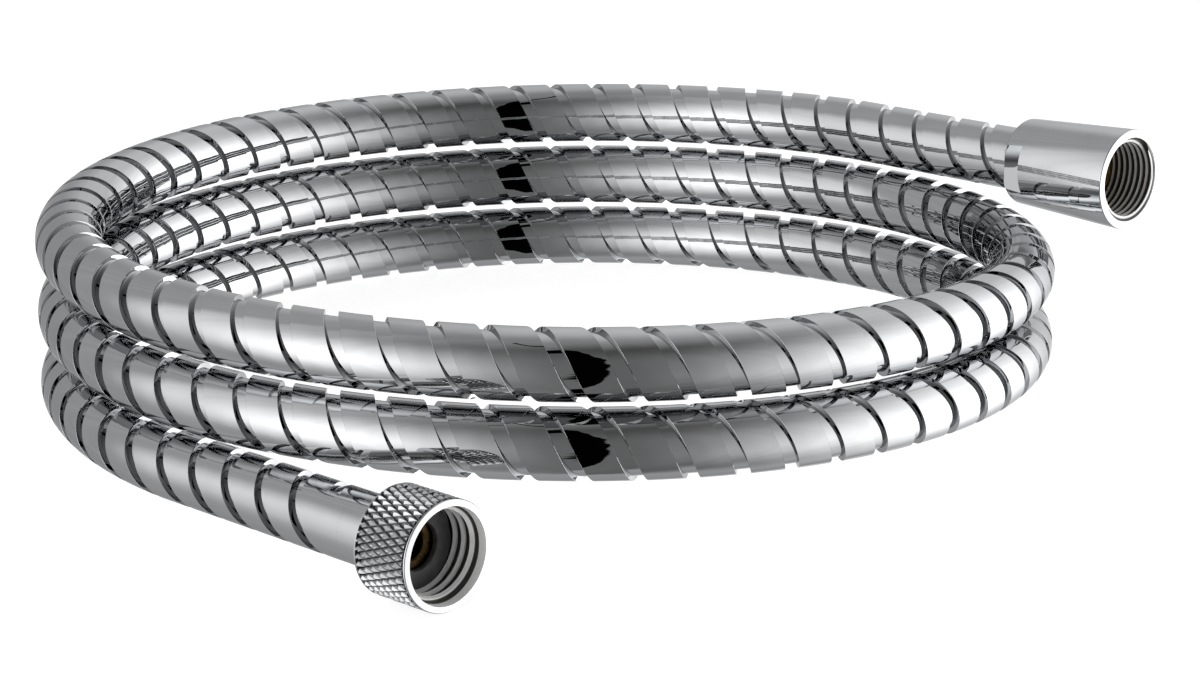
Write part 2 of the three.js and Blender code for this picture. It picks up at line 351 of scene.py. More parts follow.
# %% [markdown]
# ## The rubber tube
#
# The water runs in a rubber tube inside the strip. It is out of sight in the finished hose, but it
# is a piece of its own with a bore of its own, and it follows the same line.

# %% Rubber tube
TUBE_RADIUS = 6.3 * MM
TUBE_BORE_RADIUS = 4.5 * MM
TUBE_SIDES = 24
TUBE_STEP = 8 * MM
TUBE_START = -74.5 * MM
TUBE_END = COIL_LENGTH + 75.3 * MM

tube = make_piece("rubber_tube", [
    plain_tube(TUBE_START, TUBE_END, TUBE_STEP, TUBE_RADIUS, TUBE_SIDES, inward=False),
    plain_tube(TUBE_START, TUBE_END, TUBE_STEP, TUBE_BORE_RADIUS, TUBE_SIDES, inward=True),
    end_ring(TUBE_START, TUBE_RADIUS, TUBE_BORE_RADIUS, TUBE_SIDES, forward=False),
    end_ring(TUBE_END, TUBE_RADIUS, TUBE_BORE_RADIUS, TUBE_SIDES, forward=True),
])

# %% [markdown]
# ## Turned pieces
#
# The nuts, inserts, sleeves and washer are all turned about an axis along X. Each is a closed
# profile of [x, radius] points, with x measured from the coil as on the construction model. Here a
# ring of points is made for each profile point, and the rings are joined in a loop.

# %% Turning


def on_axis(node):
    """A placing function for points round the axis of a node, with x measured from the coil."""
    axis = axis_of(node)

    def place(x, angle, radius):
        turned = angle + LEAN
        return np.stack([
            coil_middle.x + x,
            axis.y + radius * np.cos(turned),
            axis.z + radius * np.sin(turned),
        ], axis=-1)

    return place


def turned_rings(place, profile, sides, closed=True):
    """A (points, faces) grid of a profile that runs forwards outside and back along the bore."""
    x, radius = np.array(profile + profile[:1] if closed else profile, float).T
    angle = 2 * math.pi * np.arange(sides) / sides
    shape = (len(x), sides)
    points = place(
        np.broadcast_to(x[:, None], shape),
        np.broadcast_to(angle[None, :], shape),
        np.broadcast_to(radius[:, None], shape),
    )
    return points, grid_faces(len(x), sides)


def rounded(corner_x, corner_r, radius, turn_from, steps=4):
    """Points of a quarter round that starts at an angle and turns a right angle clockwise."""
    angles = [turn_from - math.pi / 2 * step / steps for step in range(steps + 1)]
    return [(corner_x + radius * math.cos(a), corner_r + radius * math.sin(a)) for a in angles]


CONE_MOUTH = CONE_STRAIGHT + CONE_LENGTH
KNURLED_MOUTH = KNURLED_STRAIGHT + KNURLED_LENGTH
print(f"conical nut to {1000 * CONE_MOUTH:.1f} mm, knurled nut to {1000 * KNURLED_MOUTH:.1f} mm")

# %% [markdown]
# ## The conical nut
#
# This nut takes the hand shower, which hangs in a bracket by the nut's taper. It is a slim cone,
# wide at the mouth, with a crisp thin rim and a fine inside thread, and two flats at its back let
# a wrench hold it. The cone and the bore are turned, the thread is wound into the bore with the
# same helper as the strip, and the flats are cut with a boolean, as a mill would cut them.

# %% Conical nut
THREAD_ROOT = 10.6 * MM
THREAD_CREST = 9.4 * MM
THREAD_PITCH = 1.7 * MM
LEAD_IN = 10.68 * MM
BACK_BORE = HOSE_RADIUS + SEAT_GAP
CONE_SEAT = CONE_MOUTH - 13.3 * MM
CONE_MOUTH_RADIUS = 12.7 * MM
CONE_SHOULDER_RADIUS = 11.1 * MM
CONE_SHOULDER_ROUND = 1 * MM
CONE_RIM_ROUND = 0.3 * MM
FLAT_DISTANCE = 9.5 * MM
FLAT_LENGTH = 5.6 * MM
CONE_LIP = 1.3 * MM
MOUTH_BREAK = 0.1 * MM
THREAD_START = 1.1 * MM
LIP_WIDTH = 0.04 * MM
THREAD_CREST_WIDTH = 0.2 * MM
THREAD_FLANK = 0.55 * MM
THREAD_LIP = 0.42 * MM
MOUTH_RAMP = 0.1 * MM
RUN_OUT = 0.3 * MM
NUT_SIDES = 128


def thread_profile(crest_width, flank, root, crest, lean=0, lip=0):
    """One turn of an inside thread: its crest may lean towards the mouth and end in a steep lip."""
    end = flank + crest_width
    front = crest + crest_width * math.tan(lean)
    lip_end = (end + LIP_WIDTH, front + lip)
    return [(0, root), (flank, crest), (end, front), lip_end, (end + flank, root)]


def boolean_cut(piece, cutters):
    """Cuts boxes out of a piece for good, and clears them away."""
    for cutter in cutters:
        modifier = piece.modifiers.new("cut", "BOOLEAN")
        modifier.operation = "DIFFERENCE"
        modifier.solver = "EXACT"
        modifier.object = cutter
    bpy.context.view_layer.update()
    cut = piece.evaluated_get(bpy.context.evaluated_depsgraph_get())
    shaped = bpy.data.meshes.new_from_object(cut)
    piece.modifiers.clear()
    piece.data = shaped
    shaped.shade_smooth()
    shaped.set_sharp_from_angle(angle=SHARP_ANGLE)
    for cutter in cutters:
        bpy.data.objects.remove(cutter)


def box_cutter(low, high, place):
    """A box between two corners of the coil's frame, for a boolean."""
    work = bmesh.new()
    bmesh.ops.create_cube(work, size=1)
    size, middle = Vector(high) - Vector(low), (Vector(high) + Vector(low)) / 2
    bmesh.ops.scale(work, vec=size, verts=work.verts)
    bmesh.ops.translate(work, vec=middle, verts=work.verts)
    bmesh.ops.transform(work, matrix=place, verts=work.verts)
    mesh = bpy.data.meshes.new("cutter")
    work.to_mesh(mesh)
    work.free()
    cutter = bpy.data.objects.new("cutter", mesh)
    bpy.context.scene.collection.objects.link(cutter)
    return cutter


def conical_nut():
    """The slim cone with its wound thread and two milled flats."""
    place = on_axis("conical_nut")
    shoulder = rounded(
        CONE_STRAIGHT + CONE_SHOULDER_ROUND, CONE_SHOULDER_RADIUS - CONE_SHOULDER_ROUND,
        CONE_SHOULDER_ROUND, math.pi, steps=6,
    )
    mouth = CONE_MOUTH + CONE_LIP
    rim = rounded(
        mouth - CONE_RIM_ROUND, CONE_MOUTH_RADIUS - CONE_RIM_ROUND, CONE_RIM_ROUND, math.pi / 2,
    )
    thread_end = mouth - MOUTH_BREAK
    outline = [
        (CONE_SEAT, THREAD_ROOT), (CONE_SEAT, BACK_BORE), (CONE_STRAIGHT, BACK_BORE),
        *shoulder, *rim, (mouth, THREAD_ROOT + MOUTH_BREAK), (thread_end, THREAD_ROOT),
    ]
    body = turned_rings(place, outline, NUT_SIDES, closed=False)
    bore = winding(
        place, CONE_SEAT, thread_end, THREAD_PITCH, THREAD_START,
        thread_profile(THREAD_CREST_WIDTH, THREAD_FLANK, THREAD_ROOT, THREAD_CREST, lip=THREAD_LIP),
        THREAD_ROOT, NUT_SIDES, (RUN_OUT, 0), ramps=(RAMP, MOUTH_RAMP), inward=True,
    )
    nut = make_piece("cone_nut", [body, bore])
    on_the_axis = Matrix.Translation((coil_middle.x, upper_axis.y, upper_axis.z))
    on_the_axis = on_the_axis @ Matrix.Rotation(LEAN, 4, "X")
    reach = CONE_MOUTH_RADIUS
    flats = []
    for side in (-1, 1):
        near, far = sorted((side * FLAT_DISTANCE, side * (FLAT_DISTANCE + reach)))
        low = (CONE_STRAIGHT - FLAT_LENGTH, near, -reach)
        high = (CONE_STRAIGHT + FLAT_LENGTH, far, reach)
        flats.append(box_cutter(low, high, on_the_axis))
    boolean_cut(nut, flats)
    return nut


cone_nut = conical_nut()

# %% [markdown]
# ## The knurled nut
#
# The short nut at the mixer end is done up by hand, so its band is knurled: two sets of crossed
# grooves leave rows of small pyramids. Height over the band is worked out on a fine grid whose
# cells split along the grooves, so that each pyramid has four flat faces, a small worn top and a
# narrow groove bottom. A plain rim frames the band on both sides.

# %% Knurled nut
KNURL_COUNT = 42
KNURL_ROWS = 6
KNURL_CELL = 8
KNURL_DEPTH = 0.65 * MM
KNURL_CREST = 12.2 * MM
KNURL_TOP = 6 / KNURL_CELL
KNURL_BOTTOM = 0.5 / KNURL_CELL
RIM_WIDTH = 0.5 * MM
RIM_BEVEL = 0.12 * MM
NOSE_LENGTH = 0.12 * MM
NOSE_ROUND = 0.3 * MM
NOSE_RADIUS = 12.15 * MM
UNDERCUT = 0.4 * MM
KNURLED_SEAT = KNURLED_MOUTH - 13.3 * MM
COARSE_PITCH = 2.6 * MM
COARSE_ROOT = 10.48 * MM
COARSE_LEAN = math.radians(25)
COARSE_START = 0.2 * MM
COARSE_CREST_WIDTH = 0.75 * MM
COARSE_FLANK = 0.2 * MM
COARSE_LEAD_IN = 2 * MM


def knurl_height(row, place):
    """Height of the knurl, 0 in a groove and 1 on a pyramid's top, at a point of the fine grid."""
    across_cell, along_cell = place % KNURL_CELL / KNURL_CELL, row % KNURL_CELL / KNURL_CELL
    odd = (row // KNURL_CELL + place // KNURL_CELL) % 2 == 1
    ridge = np.where(odd, np.abs(1 - along_cell - across_cell), np.abs(along_cell - across_cell))
    return np.clip((ridge - KNURL_BOTTOM) / (KNURL_TOP - KNURL_BOTTOM), 0, 1)


def knurl_band(place, start, end):
    """A (points, faces) grid of the knurl, with each cell split along its own groove."""
    rows, places = KNURL_ROWS * KNURL_CELL + 1, 2 * KNURL_COUNT * KNURL_CELL
    row, column = np.meshgrid(np.arange(rows), np.arange(places), indexing="ij")
    radius = KNURL_CREST - KNURL_DEPTH * (1 - knurl_height(row, column))
    points = place(start + (end - start) * row / (rows - 1), 2 * math.pi * column / places, radius)
    row, column = np.meshgrid(np.arange(rows - 1), np.arange(places), indexing="ij")
    next_column = (column + 1) % places
    a, b = row * places + column, row * places + next_column
    d, c = a + places, b + places
    odd = (row // KNURL_CELL + column // KNURL_CELL) % 2 == 1
    first = np.where(odd[..., None], np.stack([a, b, d], -1), np.stack([a, b, c], -1))
    second = np.where(odd[..., None], np.stack([b, c, d], -1), np.stack([a, c, d], -1))
    return points, np.concatenate([first.reshape(-1, 3), second.reshape(-1, 3)])


def knurled_nut():
    """The short nut with its knurled band, plain rims and coarse thread."""
    place = on_axis("knurled_nut")
    sides = 2 * KNURL_COUNT * KNURL_CELL
    nose_start = KNURLED_MOUTH - NOSE_LENGTH - NOSE_ROUND - RIM_BEVEL
    band_start = KNURLED_STRAIGHT + RIM_WIDTH
    band_end = nose_start - UNDERCUT
    band = knurl_band(place, band_start, band_end)
    first_ring, last_ring = band[0][0], band[0][-1]
    back_outline = [
        (KNURLED_SEAT, COARSE_ROOT), (KNURLED_SEAT, BACK_BORE), (KNURLED_STRAIGHT, BACK_BORE),
        (KNURLED_STRAIGHT, KNURL_CREST - RIM_BEVEL), (KNURLED_STRAIGHT + RIM_BEVEL, KNURL_CREST),
        (band_start, KNURL_CREST),
    ]
    thread_end = KNURLED_MOUTH - COARSE_LEAD_IN
    front_outline = [
        (band_end, KNURL_CREST - KNURL_DEPTH), (nose_start, KNURL_CREST - KNURL_DEPTH),
        (nose_start, NOSE_RADIUS - RIM_BEVEL), (nose_start + RIM_BEVEL, NOSE_RADIUS),
        *rounded(nose_start + RIM_BEVEL, NOSE_RADIUS - NOSE_ROUND, NOSE_ROUND, math.pi / 2),
        (KNURLED_MOUTH, LEAD_IN), (thread_end, COARSE_ROOT),
    ]
    back_part = turned_rings(place, back_outline, sides, closed=False)
    front_part = turned_rings(place, front_outline, sides, closed=False)
    step_up = np.stack([back_part[0][-1], first_ring]), grid_faces(2, sides)
    step_down = np.stack([last_ring, front_part[0][0]]), grid_faces(2, sides)
    bore = winding(
        place, KNURLED_SEAT, thread_end, COARSE_PITCH, COARSE_START,
        thread_profile(COARSE_CREST_WIDTH, COARSE_FLANK, COARSE_ROOT, THREAD_CREST, COARSE_LEAN),
        COARSE_ROOT, sides, (RUN_OUT, RUN_OUT), inward=True,
    )
    return make_piece("knurled_end_nut", [back_part, step_up, band, step_down, front_part, bore])


grip_nut = knurled_nut()

# %% [markdown]
# ## Inserts, sleeves and washer
#
# Inside each nut the flange of a brass insert takes the pull of the thread, and a barbed stem holds
# the rubber tube. A smooth sleeve clamps the strip on that stem and shows as the plain stretch
# behind the knurled nut. The washer seals that nut. All are turned, with their edges broken, since
# an unbroken edge has no highlight.

# %% Turned small pieces
SMALL_SIDES = 96
THREAD_DEPTH = 11 * MM
FLANGE_THICKNESS = 2 * MM
FLANGE_RADIUS = 9.15 * MM
INSERT_BORE = 3.25 * MM
STEM_LENGTH = 24 * MM
STEM_NECK = 3 * MM
BARB_COUNT = 4
BARB_CREST = 4.2 * MM
BARB_DEPTH = 0.35 * MM
SLEEVE_WALL = 0.9 * MM
SLEEVE_LIP = 1 * MM
LIP_RADIUS = 4.8 * MM
CONE_SLEEVE_LENGTH = 16.3 * MM
KNURLED_SLEEVE_LENGTH = 12.6 * MM
WASHER_THICKNESS = 1.6 * MM
WASHER_BORE = 5.25 * MM
BROKEN_EDGE = 0.12 * MM


def insert(name, node, mouth):
    """A bored insert: a flange in the nut and a barbed stem in the rubber tube."""
    face = mouth - THREAD_DEPTH
    flange_back = face - FLANGE_THICKNESS
    stem_start = flange_back - STEM_LENGTH
    barb = (STEM_LENGTH - STEM_NECK) / BARB_COUNT
    root = BARB_CREST - BARB_DEPTH
    profile = []
    for step in range(BARB_COUNT):
        low, high = stem_start + step * barb, stem_start + (step + 1) * barb
        profile += [(low, root), (high - BROKEN_EDGE, BARB_CREST), (high, BARB_CREST - BROKEN_EDGE)]
    profile += [
        (flange_back - STEM_NECK, root), (flange_back, root),
        (flange_back, FLANGE_RADIUS - BROKEN_EDGE), (flange_back + BROKEN_EDGE, FLANGE_RADIUS),
        (face - BROKEN_EDGE, FLANGE_RADIUS), (face, FLANGE_RADIUS - BROKEN_EDGE),
        (face, INSERT_BORE + 3 * BROKEN_EDGE), (face - 3 * BROKEN_EDGE, INSERT_BORE),
        (stem_start, INSERT_BORE),
    ]
    return make_piece(name, [turned_rings(on_axis(node), profile, SMALL_SIDES)])


def sleeve(name, node, mouth, length):
    """A smooth sleeve over the strip, with a lip that turns in round the insert."""
    end = mouth - THREAD_DEPTH - FLANGE_THICKNESS - SEAT_GAP
    start = end - length
    profile = [
        (start, HOSE_RADIUS), (end - BROKEN_EDGE, HOSE_RADIUS),
        (end, HOSE_RADIUS - BROKEN_EDGE), (end, LIP_RADIUS), (end - SLEEVE_LIP, LIP_RADIUS),
        (end - SLEEVE_LIP, HOSE_RADIUS - SLEEVE_WALL), (start, HOSE_RADIUS - SLEEVE_WALL),
    ]
    return make_piece(name, [turned_rings(on_axis(node), profile, SMALL_SIDES)])


def washer(name, node, mouth):
    """A flat ring with rounded edges, seated on the insert's flange."""
    low = mouth - THREAD_DEPTH + SEAT_GAP
    high = low + WASHER_THICKNESS
    edge = 3 * BROKEN_EDGE
    profile = rounded(low + edge, FLANGE_RADIUS - edge, edge, math.pi)
    profile += rounded(high - edge, FLANGE_RADIUS - edge, edge, math.pi / 2)
    profile += rounded(high - edge, WASHER_BORE + edge, edge, 0)
    profile += rounded(low + edge, WASHER_BORE + edge, edge, -math.pi / 2)
    return make_piece(name, [turned_rings(on_axis(node), profile, SMALL_SIDES)])


cone_insert = insert("cone_insert", "conical_end_insert", CONE_MOUTH)
grip_insert = insert("knurled_insert", "knurled_end_insert", KNURLED_MOUTH)
cone_sleeve = sleeve("cone_sleeve", "conical_end_sleeve", CONE_MOUTH, CONE_SLEEVE_LENGTH)
grip_sleeve = sleeve("knurled_sleeve", "knurled_end_sleeve", KNURLED_MOUTH, KNURLED_SLEEVE_LENGTH)
seal = washer("rubber_washer", "sealing_washer", KNURLED_MOUTH)

# %% [markdown]
# ## Bodies and stand-ins
#
# Each nut turns on its insert, and everything else is one body with the hose. Each piece stands in
# for the CAD node of the same part.

# %% Bodies
STANDS_FOR = [
    (strip, "outer_hose", "hose", "chromed_strip"),
    (tube, "inner_tube", "hose", "tube_rubber"),
    (cone_nut, "conical_nut", "conical_nut", "nut_chrome"),
    (grip_nut, "knurled_nut", "knurled_nut", "nut_chrome"),
    (cone_insert, "conical_end_insert", "hose", "insert_brass"),
    (grip_insert, "knurled_end_insert", "hose", "insert_brass"),
    (cone_sleeve, "conical_end_sleeve", "hose", "chromed_strip"),
    (grip_sleeve, "knurled_end_sleeve", "hose", "chromed_strip"),
    (seal, "sealing_washer", "hose", "washer_rubber"),
]
for piece, node, body, slot in STANDS_FOR:
    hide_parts(node)
    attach(piece, body)

# %% [markdown]
# ## Shader maths
#
# Node graphs are easier to read as formulas. The class below wraps one output socket, and the
# usual operators add Math nodes, so that a mask can be written as `1 - noise * 0.3`. Any other
# node comes from one method that takes its type, its settings and the values of its sockets.

# %% Shader maths


class Value:
    """An output socket of a node tree, with the arithmetic of Math nodes."""

    def __init__(self, graph, socket):
        self.graph, self.socket = graph, socket

    def math(self, operation, *others):
        values = dict(enumerate([self, *others]))
        return self.graph.node("ShaderNodeMath", {"operation": operation}, values)

    def __add__(self, other):
        return self.math("ADD", other)

    def __sub__(self, other):
        return self.math("SUBTRACT", other)

    def __rsub__(self, other):
        return self.graph.node("ShaderNodeMath", {"operation": "SUBTRACT"}, {0: other, 1: self})

    def __mul__(self, other):
        return self.math("MULTIPLY", other)

    __radd__ = __add__
    __rmul__ = __mul__

    def between(self, low, high):
        """0 at low and below, 1 at high and above, with a soft curve between them."""
        settings = {"interpolation_type": "SMOOTHSTEP", "clamp": True}
        values = {"Value": self, "From Min": low, "From Max": high}
        return self.graph.node("ShaderNodeMapRange", settings, values, "Result")


class Graph:
    """A node tree that is cleared and then built by formulas."""

    def __init__(self, tree):
        self.tree = tree
        tree.nodes.clear()

    def node(self, kind, settings=None, values=None, output=0):
        made = self.tree.nodes.new(kind)
        for name, setting in (settings or {}).items():
            setattr(made, name, setting)
        for name, value in (values or {}).items():
            if isinstance(value, Value):
                self.tree.links.new(value.socket, made.inputs[name])
            else:
                made.inputs[name].default_value = value
        return Value(self, made.outputs[output]) if len(made.outputs) else made

    def split(self, vector):
        """The x, y and z of a vector."""
        parts = self.node("ShaderNodeSeparateXYZ", values={"Vector": vector})
        return [Value(self, output) for output in parts.socket.node.outputs]


def noise(graph, place, scale, detail=3.0):
    """Noise from 0 to 1 whose features are about one scale wide."""
    values = {"Vector": place, "Scale": scale, "Detail": detail}
    return graph.node("ShaderNodeTexNoise", {}, values)


print("shader helpers ready")

# %% [markdown]
# ## The studio
#
# Chrome has no colour of its own: the grey, black and white of the picture are the studio. Two
# big soft boxes stand left and right of the camera, with a dim wall between them and a narrow
# black gap right behind the camera, and the ceiling is mid grey. The world's shader draws these as
# soft masks of azimuth and elevation, each a window that rises and falls over some degrees.
#
# Chromium gives back about half of the light that falls on it, so the studio is made brighter by as
# much. A first reflection then has the studio's own tone, and a second one, in a groove or between
# two turns, comes out at half of it, which draws the dark lines. The white sweep on which the
# object lies is seen by the camera only, so that the metal reflects the studio and not its own
# table.

# %% Soft boxes
WHITE = (1.0, 1.0, 1.0, 1.0)
CHROMIUM = (0.494, 0.502, 0.51)
WALL = 0.28
DARK_WALL = 0.64
DARK_WALL_ABOVE = 0.15
DARK_AZIMUTH = 80
DARK_SIDE = (-150, 0, 0, 105)
CEILING = 0.4
OVERHEAD = (58, 89)
STREAKS = 0.12
STREAK_SCALE = 12.0
SOFT_BOXES = [
    {"azimuth": 0, "sideways": (-40, -4, 1, 48), "upright": (-72, 0, -10, 69), "light": 0.88},
    {"azimuth": 0, "sideways": (-66, -44, -44, 26), "upright": (-45, 14, 10, 90), "light": 0.42},
    {"azimuth": 150, "sideways": (-90, 10, 10, 58), "upright": (-73, -20, -20, 62), "light": 1.45},
    {"azimuth": -145, "sideways": (-58, 0, 0, 29), "upright": (-50, -40, 26, 88), "light": 0.24},
]


def degrees_between(value, low, high):
    """0 below one angle and 1 above another, both in degrees."""
    return value.between(math.radians(low), math.radians(high))


def window(value, rise_from, rise_to, fall_from, fall_to):
    """A soft window over a range of degrees: it rises once and falls once."""
    risen = degrees_between(value, rise_from, rise_to)
    return risen * (1 - degrees_between(value, fall_from, fall_to))


def bearing(graph, across, ahead, azimuth):
    """The angle of the looked-at direction from an azimuth, from -pi to pi."""
    azimuth = math.radians(azimuth)
    turned_across = across * math.cos(azimuth) - ahead * math.sin(azimuth)
    turned_ahead = ahead * math.cos(azimuth) + across * math.sin(azimuth)
    return turned_across.math("ARCTAN2", turned_ahead)


def studio_light(graph, x, ahead, height, overhead):
    """The walls, which are darker on one side of the camera, and the soft boxes before them."""
    dark_side = window(bearing(graph, x, ahead, DARK_AZIMUTH), *DARK_SIDE)
    dark_side = dark_side * (1 - overhead) + overhead * CEILING
    light = WALL * (1 - dark_side * (degrees_between(height, 20, 60) * DARK_WALL_ABOVE + DARK_WALL))
    for box in SOFT_BOXES:
        across = window(bearing(graph, x, ahead, box["azimuth"]), *box["sideways"])
        light = light + across * window(height, *box["upright"]) * box["light"]
    return light


for box in SOFT_BOXES:
    print(f"soft box at {box['azimuth']} degrees, light {box['light']}")

# %% [markdown]
# ## The black gap
#
# The black gap is the unlit room behind the camera. It shows in the front strands as one torn black
# patch with a thin tail, so its edge is ragged and its top leans over to one side.

# %% Black gap and world
GAP_AZIMUTH = 54.6
GAP_LEAN = 0.055
GAP_HEIGHT = (-64, -60, 80, 86)
GAP_TAIL = 16
GAP_TAIL_RISE = (62, 84)
GAP_RAGGED = 3
GAP_RAGGED_SCALE = 5.0
GAP_THIN = 1.7
GAP_BELLY = 2.1
GAP_BELLY_HEIGHT = (-66, -30, 55, 80)
GAP_EDGE = 0.2
GAP_DARKNESS = 0.995


def black_gap(graph, direction, x, ahead, height):
    """1 in the gap behind the camera and 0 beside it."""
    tail = degrees_between(height, *GAP_TAIL_RISE)
    off_centre = bearing(graph, x, ahead, GAP_AZIMUTH) - height * GAP_LEAN
    off_centre = off_centre + tail * math.radians(GAP_TAIL)
    ragged = (noise(graph, direction, GAP_RAGGED_SCALE) - 0.5) * math.radians(GAP_RAGGED)
    belly = window(height, *GAP_BELLY_HEIGHT) * math.radians(GAP_BELLY) + math.radians(GAP_THIN)
    half_width = belly + ragged * (1 - tail)
    black = degrees_between(half_width - off_centre.math("ABSOLUTE"), -GAP_EDGE, GAP_EDGE)
    return black * window(height, *GAP_HEIGHT)


def make_world():
    """The world's shader: the walls and soft boxes, faint streaks in them, and the black gap."""
    world = bpy.data.worlds.new("studio")
    bpy.context.scene.world = world
    world.use_nodes = True
    graph = Graph(world.node_tree)
    direction = graph.node("ShaderNodeTexCoord", output="Generated")
    x, y, z = graph.split(direction)
    height = z.math("ARCSINE")
    ahead = -1 * y
    overhead = degrees_between(height, *OVERHEAD)
    light = studio_light(graph, x, ahead, height, overhead)
    black = black_gap(graph, direction, x, ahead, height)

    level_only = {0: direction, 1: (1.0, 1.0, 0.0)}
    flat = graph.node("ShaderNodeVectorMath", {"operation": "MULTIPLY"}, level_only)
    flat = graph.node("ShaderNodeVectorMath", {"operation": "NORMALIZE"}, {0: flat})
    streaks = (noise(graph, flat, STREAK_SCALE, 2.0) - 0.5) * (2 * STREAKS) * (1 - overhead) + 1
    light = light * streaks * (1 - black * GAP_DARKNESS) * (1 / CHROMIUM[1])
    shine = graph.node("ShaderNodeBackground", {}, {"Color": WHITE, "Strength": light})
    graph.node("ShaderNodeOutputWorld", {}, {"Surface": shine})
    print(f"studio of {len(SOFT_BOXES)} soft boxes and {len(world.node_tree.nodes)} nodes")


make_world()

# %% [markdown]
# ## The white sweep
#
# A product photographer's table is one white sheet that curves up into a wall, lit from below so
# that it turns pure white. The sheet here glows a little for that reason, and takes no part in the
# light on the metal. It is stage, not part of the object.

# %% Sweep
SWEEP_RADIUS = 3.0
SWEEP_CURVE = 0.8
SWEEP_HEIGHT = 2.2
SWEEP_SIDES = 96
SWEEP_GLOW = 0.8
SWEEP_PAINT = (0.55, 0.55, 0.55, 1.0)
SWEEP_FLAT = 0.5
SWEEP_STEPS = 12


def make_sweep():
    """The white sheet, as a round table whose rim curves up into a wall."""
    curve = [
        (SWEEP_RADIUS + SWEEP_CURVE * math.sin(a), SWEEP_CURVE * (1 - math.cos(a)))
        for a in (math.pi / 2 * step / SWEEP_STEPS for step in range(SWEEP_STEPS + 1))
    ]
    profile = [(0, 0), (SWEEP_FLAT, 0), *curve, (SWEEP_RADIUS + SWEEP_CURVE, SWEEP_HEIGHT)]
    radius, height = np.array(profile).T
    angle = 2 * math.pi * np.arange(SWEEP_SIDES) / SWEEP_SIDES
    points = np.stack([
        radius[:, None] * np.cos(angle), radius[:, None] * np.sin(angle),
        np.broadcast_to(height[:, None], (len(radius), SWEEP_SIDES)),
    ], axis=-1)
    sweep = make_piece("white_sweep", [(points, grid_faces(len(radius), SWEEP_SIDES, inward=True))])
    sweep.data.materials.append(sweep_paint())
    sweep.visible_glossy = False
    sweep.visible_transmission = False
    sweep.visible_diffuse = False
    sweep.visible_shadow = False


def sweep_paint():
    """White paint that glows a little."""
    material = bpy.data.materials.new("sweep_white")
    material.use_nodes = True
    graph = Graph(material.node_tree)
    paint = graph.node("ShaderNodeBsdfDiffuse", {}, {"Color": SWEEP_PAINT})
    glow = graph.node("ShaderNodeEmission", {}, {"Color": WHITE, "Strength": SWEEP_GLOW})
    both = graph.node("ShaderNodeAddShader", {}, {0: paint, 1: glow})
    graph.node("ShaderNodeOutputMaterial", {}, {"Surface": both})
    return material


make_sweep()
bpy.context.scene.view_settings.view_transform = "Standard"
print(f"sheet of {SWEEP_RADIUS:.0f} m round the object")

# %% [markdown]
# ## Chrome
#
# Decorative chrome is a thin bright plate, almost a perfect mirror with a cool tint. New chrome
# still isn't flawless: handling leaves faint smears that only show as slightly softer
# reflections, and the plate follows the polishing marks below it. So the colour hardly varies,
# the roughness varies a little, and a very weak bump does the rest.
#
# The bores of the nuts are satin, as plating is thin where the bath can't reach. The roots of their
# threads are painted nearly black and the bottoms of the knurl's grooves are painted dark, as
# painted shade in those recesses. Both are told from the distance to the nut's axis and the depth
# behind its mouth, so no picture has to be fitted.

# %% Chrome


def principled(graph, values):
    """A Principled shader with its output node."""
    shader = graph.node("ShaderNodeBsdfPrincipled", {}, values)
    graph.node("ShaderNodeOutputMaterial", {}, {"Surface": shader})
    return shader


def new_material(name):
    """A material and the cleared graph of its nodes."""
    material = bpy.data.materials.new(name)
    material.use_nodes = True
    return material, Graph(material.node_tree)


def mixed(graph, factor, first, second):
    """A colour between two others."""
    settings = {"data_type": "RGBA"}
    first, second = (side if isinstance(side, Value) else (*side, 1.0) for side in (first, second))
    return graph.node("ShaderNodeMix", settings, {0: factor, 6: first, 7: second}, 2)


def bump(graph, height, strength, distance):
    """A normal from a height, for a Normal socket."""
    values = {"Height": height, "Strength": strength, "Distance": distance}
    return graph.node("ShaderNodeBump", {}, values)


def distance_from(graph, place, axis):
    """Distance of a point from an axis along X."""
    x, y, z = graph.split(place)
    y, z = y - axis.y, z - axis.z
    return (y * y + z * z).math("SQRT")


EDGE_TINT = (0.68, 0.68, 0.69, 1.0)
BORE_SATIN = (0.93, 0.93, 0.92)
# painted shade: nearly black colour for the roots of the bore threads
BORE_ROOT_PAINTED_SHADE = (0.045, 0.043, 0.038)
BORE_DEPTH = 13.3 * MM
BORE_EDGE = 0.05 * MM
ROOT_FADE = 0.3 * MM
BORE_ROUGHNESS = 0.45
BORE_DULL = 0.85
CONE_CREST_BAND = 0.4 * MM
COARSE_CREST_BAND = 0.5 * MM
# painted shade for the bottoms of the knurl's grooves
GROOVE_PAINTED_SHADE = (0.08, 0.08, 0.082)
GROOVE_FLOOR = KNURL_CREST - KNURL_DEPTH - 0.1 * MM
GROOVE_TOP = KNURL_CREST - 0.6 * KNURL_DEPTH
BAND_FRONT = (0.4 * MM, 0.5 * MM)
BAND_BACK = (KNURLED_LENGTH - 0.3 * MM, KNURLED_LENGTH - 0.2 * MM)
STRIP_SMEAR_SCALE = 60.0
NUT_SMEAR_SCALE = 90.0
SMEAR_RANGE = (0.45, 0.75)
SMEAR_SHADE = 0.95
SMEAR_ROUGHNESS = 0.014
POLISH_SCALE = 1100.0
POLISH_ROUGHNESS = 0.006
POLISH_BUMP = 0.003
POLISH_DEPTH = 0.05 * MM
MIRROR_ROUGHNESS = 0.005


def bore_masks(radius, depth, lead, crest):
    """Where the surface is a nut's bore, and where it is the root of the bore's thread, which gets
    painted shade.
    """
    inside = 1 - radius.between(LEAD_IN + BORE_EDGE, LEAD_IN + 2 * BORE_EDGE)
    inside = inside * depth.between(0.4 * BORE_EDGE, 2 * BORE_EDGE)
    inside = inside * (1 - depth.between(BORE_DEPTH, BORE_DEPTH + 2 * BORE_EDGE))
    root = radius.between(crest, crest + ROOT_FADE)
    root = root * depth.between(lead - BORE_EDGE, lead + BORE_EDGE)
    return inside, inside * root


